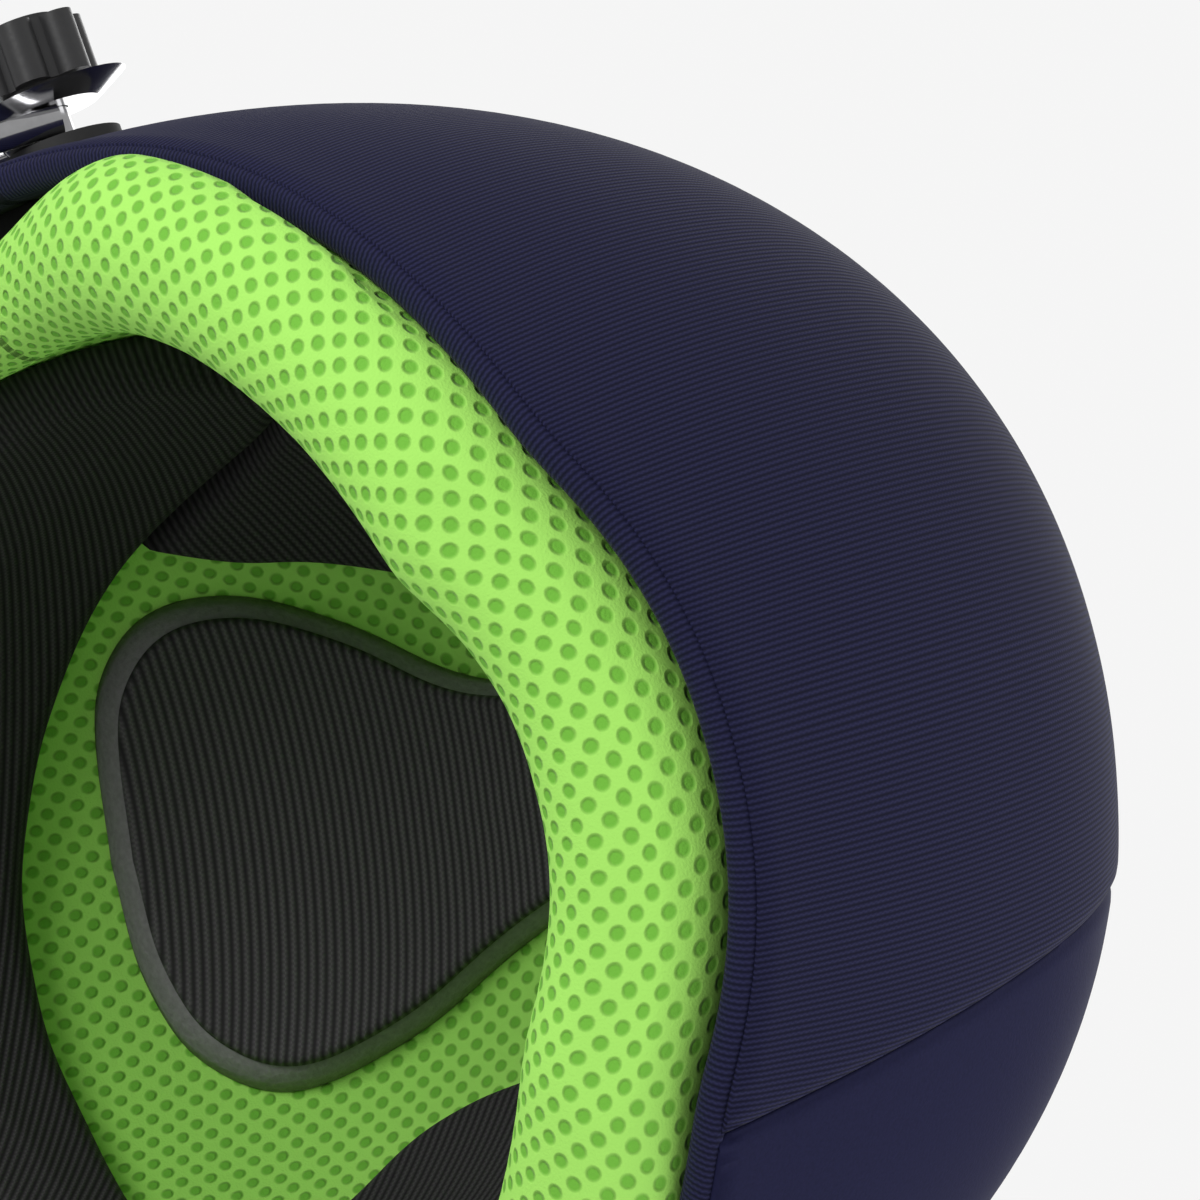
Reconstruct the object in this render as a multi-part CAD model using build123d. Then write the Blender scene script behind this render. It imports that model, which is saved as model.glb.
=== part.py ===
from build123d import *
import os
from math import asin, atan2, cos, degrees, hypot, pi, radians, sin, sqrt

# Axes while the helmet is being built: +X is the wearer's left, -Y is the face, +Z is the crown.
# The shell is widest a little above z = 0. At the end everything is tipped back onto a table.

# Outer form of the covered shell
half_width = 105.0
half_length = 123.4
form_centre = 4.0
form_power = 2.25
form_steps = 4
aim_rounds = 4
contact_rounds = 12

# Lower edge of the shell, seen from the side
brow_rim = -13.5
temple_y = -25.0
nape_bend_y = 75.0
nape_bend_rim = -42.5
nape_slope = 0.22
rim_bend_radius = 60.0

# Walls from the outside in, with the gap left between two of them
layer_gap = 0.2
cover_wall = 1.2
shell_wall = 3.2
foam_wall = 15.5
lining_wall = 3.0
binding_wall = 1.0
hem_height = 9.0
overrun = 300.0

# Seam between the two cloth panels, a nearly upright plane right of the middle
seam_offset = 42.0
seam_lean = 6.8
seam_gap = 0.4

# Peak
peak_half_width = 95.0
peak_reach = 112.0
peak_centre_y = -58.0
peak_wall = 3.0
peak_top = -4.0
peak_arch = 5.0
peak_droop = 5.0

# Soft roll that runs round inside the lower edge
roll_width = 25.0
roll_height = 24.6
roll_inset = 10.2
roll_lift = 9.5
roll_sections = 9

# Foam pads
pad_gap = 0.2
patch_wall = 1.0
liner_lift = 23.0
crown_foam_wall = 5.5
crown_face_wall = 5.0
crown_pad_front = -62.0
crown_pad_rear = 42.0
crown_front_half = 41.0
crown_rear_half = 19.0
crown_pad_corner = 16.0
crown_face_margin = 4.5
front_pad_wall = 14.0
front_pad_middle = -83.0
front_pad_horn_x = 47.0
front_pad_horn_y = -57.0
front_pad_side = -44.0
side_pad_wall = 10.0
side_pad_front = -40.0
side_pad_rear = 46.0
side_pad_inner = 45.0
side_pad_corner = 16.0
patch_width = 25.0
patch_length = 44.0
patch_reach = 36.0

# Face guard wires
wire = 4.5
eye_radius = 6.5
guard_top_y = -146.0
guard_top_z = -62.0
guard_middle_y = -144.0
guard_middle_z = -104.0
guard_bottom_y = -128.0
guard_bottom_z = -145.0
guard_nose_half = 60.0
guard_knee_share = 0.62
guard_upright_share = 0.40
guard_knee_radius = 95.0
guard_nose_radius = 58.0
front_upright_x = 22.0
middle_bars = 2
weld_gap = 0.1

# Side fixing that holds the guard, one on each side
fixing_y = -5.0
fixing_z = 1.2
fixing_toe_in = 6.0
stud_radius = 2.5
stud_clearance = 0.25
turning_clearance = 0.08
seat_radius = 9.0
seat_height = 1.5
wire_clearance = 0.35
washer_half_length = 14.0
washer_half_width = 10.0
washer_floor_radius = 7.6
washer_wall = 1.1
washer_rise = 2.2
knob_radius = 6.6
knob_lobe_radius = 2.7
knob_lobes = 6
knob_height = 11.4
knob_collar_radius = 6.0
knob_collar_height = 2.2
knob_gap = 0.3
knob_cap = 1.8
knob_cap_radius = 5.2
plate_radius = 8.0
plate_wall = 1.5
plate_clearance = 1.3
stud_head_radius = 5.5
stud_head_height = 2.2
foam_pocket_radius = 11.0

# Chin strap, its hangers and its fittings
strap_width = 18.0
strap_wall = 1.6
strap_y = -40.0
strap_z = -28.0
strap_inset = 15.6
strap_end = 6.0
strap_drop = 19.0
strap_knee_x = 52.0
strap_knee_drop = 60.0
strap_chin_half = 26.0
strap_chin_drop = 67.0
strap_upper_radius = 22.0
strap_lower_radius = 26.0
strap_chin_radius = 90.0
hanger_width = 14.0
hanger_wall = 2.0
hanger_gap = 0.3
hanger_tail = 8.0
hanger_top = 9.0
hanger_rivet_z = 3.5
hanger_rivet_radius = 1.6
hanger_rivet_head = 3.2
rivet_head_height = 0.9
pivot_radius = 2.0
pivot_head_radius = 4.5
pivot_tail_radius = 3.2
pivot_clearance = 0.1
eyelet_wall = 1.6
eyelet_flange = 5.8
eyelet_flange_wall = 0.5
buckle_share = 0.46
buckle_width = 24.0
buckle_wall = 8.0
socket_length = 20.0
socket_skin = 1.7
plug_length = 10.0
plug_wall = 6.0
prong_length = 14.0
prong_width = 4.0
prong_wall = 3.2
buckle_clearance = 0.3
web_end_depth = 3.0
slider_length = 11.0
slider_width = 25.0
slider_wall = 4.4
slider_clearance = 0.35
cup_length = 60.0
cup_width = 27.0
cup_wall = 3.2
cup_bridge = 7.0
cup_bridge_x = 9.0
cup_bridge_wall = 1.8
cup_round = 8.0


def girth_share(share):
    """Share of the widest girth that is left at a share of the half length."""
    return (1 - abs(share) ** form_power) ** (1 / form_power)


def form_curve(inset):
    """Upper side view of the head form, drawn in by an inset."""
    points = []
    for step in range(-form_steps, form_steps + 1):
        turn = radians(90 * step / form_steps)
        along = abs(sin(turn)) ** (2 / form_power) * (half_length - inset)
        up = abs(cos(turn)) ** (2 / form_power) * (half_width - inset)
        end = abs(step) == form_steps
        points.append((-along if step < 0 else along, form_centre + (0 if end else up)))
    return Spline(points, tangents=[(0, 1), (0, -1)])


def form(outer, inner=None):
    """Left half of the head form at an inset, or of the wall between two insets."""
    curve = form_curve(outer)
    if inner is None:
        ends = Line(curve @ 0, curve @ 1)
    else:
        hollow = form_curve(inner)
        ends = hollow + Line(curve @ 0, hollow @ 0) + Line(curve @ 1, hollow @ 1)
    section = make_face(Plane.YZ * (curve + ends))
    return revolve(section, Axis((0, 0, form_centre), (0, 1, 0)), 180)


def mirrored(shape):
    """The same piece on the wearer's right."""
    return mirror(shape, about=Plane.YZ)


def whole(half):
    """A left half joined to its mirror image."""
    return half + mirrored(half)


def rim_height(y):
    """Height of the lower edge at a place along the helmet."""
    if y < temple_y:
        return brow_rim
    if y < nape_bend_y:
        share = (y - temple_y) / (nape_bend_y - temple_y)
        return brow_rim + share * (nape_bend_rim - brow_rim)
    return nape_bend_rim - nape_slope * (y - nape_bend_y)


def below_rim(lift):
    """Everything below the lower edge, raised by the lift."""
    end = half_length + overrun
    bends = [(-end, brow_rim), (temple_y, brow_rim), (nape_bend_y, nape_bend_rim)]
    bends.append((end, nape_bend_rim - nape_slope * (end - nape_bend_y)))
    edge = FilletPolyline(*bends, radius=rim_bend_radius)
    side = Line(edge @ 1, (end, -end))
    base = Line((end, -end), (-end, -end))
    back = Line((-end, -end), edge @ 0)
    profile = make_face(Plane.YZ * (edge + side + base + back))
    return Pos(0, 0, lift) * extrude(profile, amount=overrun, both=True)


def layer(outer, inner, lift):
    """One wall of the shell, between two insets, cut off above the lower edge."""
    return whole(form(outer, inner) - below_rim(lift))


def surface_x(y, z, inset=0):
    """Left-hand place of the form's surface at a level."""
    girth = (half_width - inset) * girth_share(y / (half_length - inset))
    return sqrt(girth ** 2 - (z - form_centre) ** 2)


def level_point(turn, height, inset):
    """Point of the form at a turn round the head and a height."""
    radius = half_width - inset
    rise = height - form_centre
    wide = sqrt(radius ** 2 - rise ** 2)
    long = (half_length - inset) * girth_share(rise / radius)
    return Vector(wide * cos(turn), long * sin(turn), height)


def fixing_frame(height=0):
    """Place of the left fixing, its axis along local Z and the face along local X."""
    toe = radians(fixing_toe_in)
    outward = Vector(cos(toe), -sin(toe), 0)
    forward = Vector(-sin(toe), -cos(toe), 0)
    foot = Vector(surface_x(fixing_y, fixing_z), fixing_y, fixing_z)
    return Plane(origin=foot + outward * height, x_dir=forward, z_dir=outward)


def post(plane, radius, low, high):
    """Round post along a plane's axis, between two heights."""
    return plane * Pos(0, 0, (low + high) / 2) * Cylinder(radius, high - low)


# Inset of each wall, from the outside in
shell_out = cover_wall + layer_gap
shell_in = shell_out + shell_wall
foam_out = shell_in + layer_gap
foam_in = foam_out + foam_wall
lining_out = foam_in + layer_gap
lining_in = lining_out + lining_wall
patch_out = lining_in + pad_gap
pad_out = patch_out + patch_wall + pad_gap
edge_lift = binding_wall + layer_gap


def peak_slab(grow):
    """The peak's curved sheet, thickened and widened by the same amount."""
    top = peak_top + grow
    bottom = peak_top - peak_wall - grow
    wide = peak_half_width + grow
    upper = ThreePointArc((-wide, top - peak_arch), (0, top), (wide, top - peak_arch))
    lower = ThreePointArc((-wide, bottom - peak_arch), (0, bottom), (wide, bottom - peak_arch))
    ends = Line(upper @ 0, lower @ 0) + Line(upper @ 1, lower @ 1)
    sheet = extrude(make_face(Plane.XZ * (upper + lower + ends)), amount=overrun, both=True)
    hinge = Axis((0, -half_length, peak_top), (1, 0, 0))
    sheet = sheet.rotate(hinge, peak_droop)
    outline = Pos(0, peak_centre_y) * Ellipse(wide, peak_reach + grow)
    return sheet & extrude(outline, amount=overrun, both=True)


def hard_shell():
    """Moulded shell with its fixing holes."""
    body = layer(shell_out, shell_in, edge_lift)
    bore = post(fixing_frame(), stud_radius + stud_clearance, -overrun / 4, seat_height)
    hanger_bore = post(hanger_frame(), hanger_rivet_radius + pivot_clearance, -hanger_out, 0)
    for cut in (bore, hanger_bore):
        body = body - cut - mirrored(cut)
    return body


def peak_board():
    """Stiff board of the peak, butted against the shell."""
    return peak_slab(0) - whole(form(shell_out - layer_gap))


def covers():
    """Stretched cloth over the shell: ribbed panel and smooth panel, split at the seam."""
    cloth = layer(0, cover_wall, edge_lift) - peak_slab(cover_wall + 2 * layer_gap)
    bore = post(fixing_frame(), stud_radius + stud_clearance, -overrun / 4, seat_height)
    cloth = cloth - bore - mirrored(bore)
    split = Pos(-seam_offset, 0, 0) * Rot(0, seam_lean, 0)
    right = split * Pos(-overrun / 2 - seam_gap / 2, 0, 0) * Box(overrun, overrun, overrun)
    left = split * Pos(overrun / 2 + seam_gap / 2, 0, 0) * Box(overrun, overrun, overrun)
    return cloth & left, cloth & right


def peak_cover():
    """Cloth sock round the peak."""
    sock = peak_slab(cover_wall + layer_gap) - peak_slab(layer_gap)
    return sock - whole(form(-layer_gap))


def rim_binding():
    """Cloth edge that folds under the shell's lower edge and up its inner side."""
    inner = shell_in + layer_gap + binding_wall
    fold = (form(0, inner) & below_rim(binding_wall)) - below_rim(0)
    hem = (form(shell_in + layer_gap, inner) & below_rim(hem_height)) - below_rim(0)
    return whole(fold + hem)


def right_of_seam():
    """Block that leaves half a gap beside the middle plane when it is cut from a left half."""
    return Pos(-overrun / 2 + layer_gap / 2, 0, 0) * Box(overrun, overrun, overrun)


def impact_liner():
    """Left half of the shock-absorbing foam, with a pocket behind the fixing."""
    foam = form(foam_out, foam_in) - below_rim(liner_lift)
    pocket = post(fixing_frame(), foam_pocket_radius, -overrun / 4, 0)
    return foam - pocket - right_of_seam()


def mesh_lining():
    """Left half of the mesh lining; the halves meet at a seam over the head."""
    half = form(lining_out) - form(lining_in) - below_rim(liner_lift) - right_of_seam()
    return half.solids().sort_by(SortBy.VOLUME)[-1]


def headband_roll():
    """Padded roll that follows the lower edge all the way round."""
    inset = roll_inset + roll_width / 2
    points = []
    for step in range(roll_sections):
        turn = radians(180 * step / (roll_sections - 1) - 90)
        height = rim_height(half_length * sin(turn)) + roll_lift
        points.append(level_point(turn, height, inset))
    path = Spline(points, tangents=[(1, 0), (-1, 0)])
    section = Plane(origin=path @ 0, x_dir=(0, 1, 0), z_dir=(1, 0, 0))
    half = sweep(section * Ellipse(roll_width / 2, roll_height / 2), path=path)
    return whole(half)


def pad_slab(wall, outline, start=0):
    """Left half of a pad that follows the lining, under a plan outline."""
    return form(pad_out + start, pad_out + start + wall) & extrude(outline, amount=overrun)


def crown_outline(margin):
    """Plan of the crown pad: broad at the face, narrower at the back."""
    front = crown_pad_front + margin
    rear = crown_pad_rear - margin
    broad = crown_front_half - margin
    narrow = crown_rear_half - margin
    corners = [(broad, front), (narrow, rear), (-narrow, rear), (-broad, front)]
    plan = make_face(Polyline(*corners, close=True))
    return fillet(plan.vertices(), crown_pad_corner - margin / 2)


def crown_pad():
    """Cut foam base and cloth-faced top of the crown pad."""
    base = whole(pad_slab(crown_foam_wall, crown_outline(0)))
    start = crown_foam_wall + pad_gap
    face = pad_slab(crown_face_wall, crown_outline(crown_face_margin), start)
    return base, whole(face)


def front_pad():
    """Thick brow pad across the front of the cavity."""
    horn = (front_pad_horn_x, front_pad_horn_y)
    other_horn = (-front_pad_horn_x, front_pad_horn_y)
    back = ThreePointArc(horn, (0, front_pad_middle), other_horn)
    out = half_width
    left = Polyline(horn, (out, front_pad_side), (out, -half_length), (0, -half_length))
    right = Polyline(other_horn, (-out, front_pad_side), (-out, -half_length), (0, -half_length))
    outline = make_face(back + left + right)
    return whole(pad_slab(front_pad_wall, outline) - below_rim(liner_lift))


def side_pad():
    """Left side pad, from beside the brow pad to behind the ear."""
    corners = [(side_pad_inner, side_pad_front), (side_pad_inner, side_pad_rear)]
    corners += [(half_width, side_pad_rear), (half_width, side_pad_front)]
    plan = make_face(Polyline(*corners, close=True))
    near = plan.vertices().sort_by(Axis.X)[:2]
    plan = fillet(near, side_pad_corner)
    return pad_slab(side_pad_wall, plan) - below_rim(liner_lift)


def hook_patches():
    """Hook tape between the lining and the pads."""
    slab = form(patch_out, patch_out + patch_wall)
    spots = [(0, -patch_length / 2), (0, patch_length / 2 - patch_width / 2)]
    patches = []
    for x, y in spots:
        cut = Pos(x, y, overrun / 2) * Box(patch_width, patch_width, overrun)
        patches.append(whole(slab & cut))
    brow = Box(patch_length, half_length, patch_width / 2)
    patches.append(whole(slab & Pos(0, -half_length, patch_reach - patch_width / 2) * brow))
    side = slab & Pos(half_width, 0, patch_reach) * Box(half_width, patch_length, patch_width / 2)
    patches += [side, mirrored(side)]
    return Compound([solid for patch in patches for solid in patch.solids()])


# Heights along the fixing's axis, counted outward from the covered surface
wire_level = seat_height + wire_clearance + wire / 2
washer_level = wire_level + wire / 2 + wire_clearance
knob_level = washer_level + washer_wall + knob_gap
stud_end = knob_level + knob_height - knob_cap - knob_gap
plate_depth = shell_in + plate_clearance


def wire_seat():
    """Rubber seat between the cloth and the guard's wire."""
    disc = post(fixing_frame(), seat_radius, -shell_in, seat_height)
    hole = post(fixing_frame(), stud_radius + stud_clearance, -shell_out * 4, seat_height * 2)
    return disc - form(-layer_gap) - hole


def cup_washer():
    """Oval dished washer that clamps the wire."""
    frame = fixing_frame(washer_level)
    floor = Circle(washer_floor_radius)
    rim = Pos(0, 0, washer_rise) * Ellipse(washer_half_length, washer_half_width)
    bowl = loft([floor, rim])
    hollow = loft([Pos(0, 0, washer_wall) * floor, Pos(0, 0, washer_wall) * rim])
    dish = bowl - hollow
    hole = Cylinder(stud_radius + stud_clearance, washer_rise * 4)
    return frame * (dish - hole)


def knob():
    """Lobed hand knob with a blind threaded bore."""
    body = Cylinder(knob_collar_radius, knob_height)
    grip = knob_height - knob_collar_height
    lift = Pos(0, 0, knob_collar_height / 2)
    body = body + lift * Cylinder(knob_radius, grip)
    for lobe in PolarLocations(knob_radius, knob_lobes):
        body = body + lift * lobe * Cylinder(knob_lobe_radius, grip)
    cap = Pos(0, 0, knob_height / 2 + knob_cap / 4) * Cylinder(knob_cap_radius, knob_cap / 2)
    bore_depth = stud_end - knob_level + knob_gap
    bore = Cylinder(stud_radius + turning_clearance, bore_depth)
    bore = Pos(0, 0, -knob_height / 2 + bore_depth / 2) * bore
    return fixing_frame(knob_level + knob_height / 2) * (body + cap - bore)


def stud():
    """Screw whose head sits inside the shell and whose thread takes the knob."""
    shank = post(fixing_frame(), stud_radius, -plate_depth - plate_wall, stud_end)
    head_top = -plate_depth - plate_wall
    return shank + post(fixing_frame(), stud_head_radius, head_top - stud_head_height, head_top)


def backing_plate():
    """Steel washer that spreads the screw's load on the shell."""
    disc = post(fixing_frame(), plate_radius, -plate_depth - plate_wall + layer_gap / 2, -plate_depth)
    return disc - post(fixing_frame(), stud_radius + stud_clearance, -overrun / 4, 0)


def guard_profile():
    """Side view of the guard's nose, from its top bar to its bottom bar."""
    top = (0, guard_top_y, guard_top_z)
    middle = (0, guard_middle_y, guard_middle_z)
    bottom = (0, guard_bottom_y, guard_bottom_z)
    return ThreePointArc(top, middle, bottom)


def bar_frame(nose, side):
    """Start point, run direction and depth of one bar; side is 1 above the eye, -1 below."""
    toe = radians(fixing_toe_in)
    eye = fixing_frame(wire_level).origin
    forward = fixing_frame().x_dir
    down = Vector(0, 0, -1)
    dip = atan2(eye.Z - nose.Z, eye.Y - nose.Y)
    start = eye
    for _ in range(aim_rounds):
        across = (forward * sin(dip) - down * cos(dip)) * side
        start = eye + across * (eye_radius * abs(side))
        dip = atan2((start.Z - nose.Z) * cos(toe), start.Y - nose.Y)
    run = forward * cos(dip) + down * sin(dip)
    flat = Vector(0, run.Y, run.Z)
    depth = hypot(start.Y - nose.Y, start.Z - nose.Z)
    return start, run, flat, depth


def bar_points(nose, side, first_share):
    """Corner points of a bar from its left start to the middle of the nose."""
    start, run, flat, depth = bar_frame(nose, side)
    step = flat.normalized()
    lean = run.X / flat.length
    points = []
    for share in (first_share, guard_knee_share):
        reach = depth * share
        points.append(Vector(start.X + lean * reach, start.Y, start.Z) + step * reach)
    for x in (guard_nose_half, 0):
        points.append(Vector(x, start.Y, start.Z) + step * depth)
    return points


def bar_path(nose, side, first_share):
    """Rounded line of a bar's left half."""
    radii = [guard_knee_radius, guard_nose_radius]
    return FilletPolyline(*bar_points(nose, side, first_share), radius=radii)


def wire_along(path):
    """Round wire along a path."""
    section = Plane(origin=path @ 0, z_dir=path % 0) * Circle(wire / 2)
    return sweep(section, path=path)


def eye_bend(top_start, bottom_start):
    """Bend of the wire round the left fixing."""
    eye = fixing_frame(wire_level).origin
    inward = (top_start + bottom_start) / 2 - eye
    behind = eye - inward.normalized() * eye_radius
    return ThreePointArc(top_start, behind, bottom_start)


def guard_frame():
    """Outer wire of the guard: top bar, bottom bar and the two eyes."""
    profile = guard_profile()
    top = bar_path(profile @ 0, 1, 0)
    bottom = bar_path(profile @ 1, -1, 0)
    bend = eye_bend(top @ 0, bottom @ 0)
    path = Wire.combine([*top.edges(), *bend.edges(), *bottom.edges()])[0]
    return whole(wire_along(path))


def guard_bar(share):
    """Middle bar, welded at its ends to the side uprights."""
    return whole(wire_along(bar_path(guard_profile() @ share, 0, guard_upright_share)))


def front_upright():
    """Left front upright, inside the bars."""
    profile = guard_profile()
    inset = wire + weld_gap
    points = []
    for share in (0, 0.5, 1):
        along = profile % share
        inward = Vector(0, -along.Z, along.Y)
        points.append(profile @ share + inward * inset + Vector(front_upright_x, 0, 0))
    return wire_along(ThreePointArc(*points))


def side_upright():
    """Left side upright, inside the bars and behind the knee."""
    profile = guard_profile()
    points = []
    for share, side in ((0, 1), (0.5, 0), (1, -1)):
        points.append(bar_points(profile @ share, side, guard_upright_share)[0])
    x = min(point.X for point in points) - wire - weld_gap * 3
    flat = [Vector(x, point.Y, point.Z) for point in points]
    return wire_along(ThreePointArc(*flat))


def rim_contact():
    """Rearmost point of the lower edge, which touches the table."""
    y = half_length
    for _ in range(contact_rounds):
        y = half_length * girth_share((rim_height(y) - form_centre) / half_width)
    return y, rim_height(y)


def table_tilt():
    """Angle by which the helmet leans back on its guard and its rear edge."""
    y, z = rim_contact()
    run = y - guard_bottom_y
    rise = z - guard_bottom_z
    return degrees(atan2(rise, run) + asin(wire / 2 / hypot(run, rise)))


def hanger_frame():
    """Place of the left strap hanger's rivet, its axis square to the shell."""
    slope = surface_x(strap_y + layer_gap, hanger_rivet_z) - surface_x(strap_y, hanger_rivet_z)
    outward = Vector(layer_gap, -slope, 0).normalized()
    foot = Vector(surface_x(strap_y, hanger_rivet_z), strap_y, hanger_rivet_z)
    return Plane(origin=foot, x_dir=Vector(0, 0, 1), z_dir=outward)


hanger_out = shell_in + layer_gap + binding_wall + hanger_gap
hanger_in = hanger_out + hanger_wall
strap_x = surface_x(strap_y, strap_z) - strap_inset


def strap_hanger():
    """Left hanger: a moulded strip inside the shell that carries the strap below the edge."""
    slab = form(hanger_out, hanger_in)
    low = strap_z - hanger_tail
    tall = hanger_top - low
    block = Box(half_width, hanger_width, tall)
    strip = slab & (Pos(half_width, strap_y, low + tall / 2) * block)
    hole = post(hanger_frame(), hanger_rivet_radius + pivot_clearance, -overrun / 4, 0)
    return strip - hole - pivot_post(pivot_radius + pivot_clearance)


def hanger_rivet():
    """Rivet that fixes the left hanger to the shell."""
    frame = hanger_frame()
    shank = post(frame, hanger_rivet_radius, -hanger_in - pivot_clearance * 2, -shell_out - layer_gap)
    low = -hanger_in - pivot_clearance * 2
    return shank + post(frame, hanger_rivet_head, low - rivet_head_height, low)


def pivot_post(radius, inner=0, outer=overrun):
    """Round post along the strap's left pivot, between two distances from the strap."""
    plane = Plane(origin=(strap_x, strap_y, strap_z), x_dir=(0, 0, 1), z_dir=(1, 0, 0))
    return post(plane, radius, inner, min(outer, half_width - strap_x))


def strap_pivot():
    """Left pivot rivet, fixed in the hanger."""
    reach = pivot_tail_radius
    corners = [(y, z) for y in (-reach, reach) for z in (-reach, reach)]
    face = max(surface_x(strap_y + y, strap_z + z, hanger_out) for y, z in corners)
    tail = face - strap_x + pivot_clearance
    inner = -strap_wall / 2 - eyelet_flange_wall - pivot_clearance * 2
    shank = pivot_post(pivot_radius, inner, tail + rivet_head_height)
    head = pivot_post(pivot_head_radius, inner - rivet_head_height, inner)
    cap = pivot_post(pivot_tail_radius, tail, tail + rivet_head_height)
    return shank + head + cap


def eyelet():
    """Metal eyelet in the left end of the strap."""
    reach = strap_wall / 2 + eyelet_flange_wall
    barrel = pivot_post(pivot_radius + pivot_clearance + eyelet_wall, -reach, reach)
    inner = pivot_post(eyelet_flange, -reach, -strap_wall / 2)
    outer = pivot_post(eyelet_flange, strap_wall / 2, reach)
    return barrel + inner + outer - pivot_post(pivot_radius + pivot_clearance, -reach, reach)


def strap_plane():
    """Plane of the hanging strap: upright once the helmet stands on the table."""
    lean = radians(table_tilt())
    return Plane(origin=(0, strap_y, strap_z), x_dir=(1, 0, 0), z_dir=(0, -cos(lean), -sin(lean)))


def strap_line():
    """Line of the buckled strap from the left pivot under the chin to the right pivot."""
    left = [(strap_x, strap_end), (strap_x, -strap_drop), (strap_knee_x, -strap_knee_drop)]
    left.append((strap_chin_half, -strap_chin_drop))
    right = [(-x, y) for x, y in reversed(left)]
    radii = [strap_upper_radius, strap_lower_radius, strap_chin_radius]
    line = FilletPolyline(*left, *right, radius=radii + radii[::-1])
    return strap_plane() * line


def strap_place(side):
    """Plane half way down the strap's straight run: local X outward, local Z along the run."""
    plane = strap_plane()
    high = plane.from_local_coords(Vector(side * strap_x, -strap_drop, 0))
    low = plane.from_local_coords(Vector(side * strap_knee_x, -strap_knee_drop, 0))
    return Plane(origin=high + (low - high) * buckle_share, x_dir=plane.z_dir, z_dir=low - high)


def webbing():
    """The strap's webbing, parted at the buckle into a short and a long piece."""
    line = strap_line()
    section = Plane(origin=line @ 0, x_dir=strap_plane().z_dir, z_dir=line % 0)
    band = sweep(section * Rectangle(strap_width, strap_wall), path=line)
    hole = pivot_post(pivot_radius + pivot_clearance + eyelet_wall + pivot_clearance, -strap_width / 2, strap_width / 2)
    band = band - hole - mirrored(hole)
    apart = plug_length + socket_length - 2 * web_end_depth
    gap = Box(buckle_width * 2, buckle_width, apart)
    middle = (socket_length - plug_length) / 2
    band = band - strap_place(1) * Pos(0, 0, middle) * gap
    return band.solids().sort_by(Axis.X)


def buckle_socket():
    """Female half of the buckle, on the chin side."""
    shell = Pos(0, 0, socket_length / 2) * Box(buckle_width, buckle_wall, socket_length)
    shell = fillet(shell.edges().filter_by(Axis.Z), socket_skin)
    room = prong_length + buckle_clearance
    mouth = Box(buckle_width - 2 * socket_skin, prong_wall + 2 * buckle_clearance, room)
    slot = Box(strap_width + 2 * buckle_clearance, strap_wall + 2 * buckle_clearance, web_end_depth * 2)
    shell = shell - Pos(0, 0, room / 2) * mouth - Pos(0, 0, socket_length) * slot
    return strap_place(1) * shell


def buckle_plug():
    """Male half of the buckle with its three prongs."""
    base = Pos(0, 0, -plug_length / 2 - buckle_clearance / 2)
    base = base * Box(buckle_width, plug_wall, plug_length - buckle_clearance)
    base = fillet(base.edges().filter_by(Axis.Z), socket_skin)
    slot = Box(strap_width + 2 * buckle_clearance, strap_wall + 2 * buckle_clearance, web_end_depth * 2)
    base = base - Pos(0, 0, -plug_length) * slot
    spread = buckle_width / 2 - socket_skin - buckle_clearance - prong_width / 2
    for x in (-spread, 0, spread):
        reach = prong_length + buckle_clearance
        base = base + Pos(x, 0, prong_length / 2 - buckle_clearance) * Box(prong_width, prong_wall, reach)
    return strap_place(1) * base


def strap_slider():
    """Slider that takes up the strap on the right."""
    frame = Box(slider_width, slider_wall, slider_length)
    frame = fillet(frame.edges().filter_by(Axis.Z), slider_wall / 3)
    slot = Box(strap_width + 2 * slider_clearance, strap_wall + 2 * slider_clearance, slider_length * 2)
    return strap_place(-1) * (frame - slot)


def chin_cup():
    """Moulded chin rest under the strap, with two bridges over the webbing."""
    sole = Box(cup_length, cup_wall, cup_width)
    sole = fillet(sole.edges().filter_by(Axis.Y), cup_round)
    half_gap = strap_wall / 2 + layer_gap
    low = Pos(0, -strap_chin_drop - half_gap - cup_wall / 2, 0) * sole
    bridges = []
    for x in (-cup_bridge_x, cup_bridge_x):
        span = Box(cup_bridge, cup_bridge_wall, cup_width)
        span = Pos(x, -strap_chin_drop + half_gap + cup_bridge_wall / 2, 0) * span
        bridges.append(span)
        leg_wall = (cup_width - strap_width) / 2 - layer_gap
        for z in (-1, 1):
            leg = Box(cup_bridge, 2 * half_gap + cup_bridge_wall, leg_wall)
            place = z * (cup_width - leg_wall) / 2
            bridges.append(Pos(x, -strap_chin_drop + cup_bridge_wall / 2, place) * leg)
    cup = low
    for bridge in bridges:
        cup = cup + bridge
    return strap_plane() * cup


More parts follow.
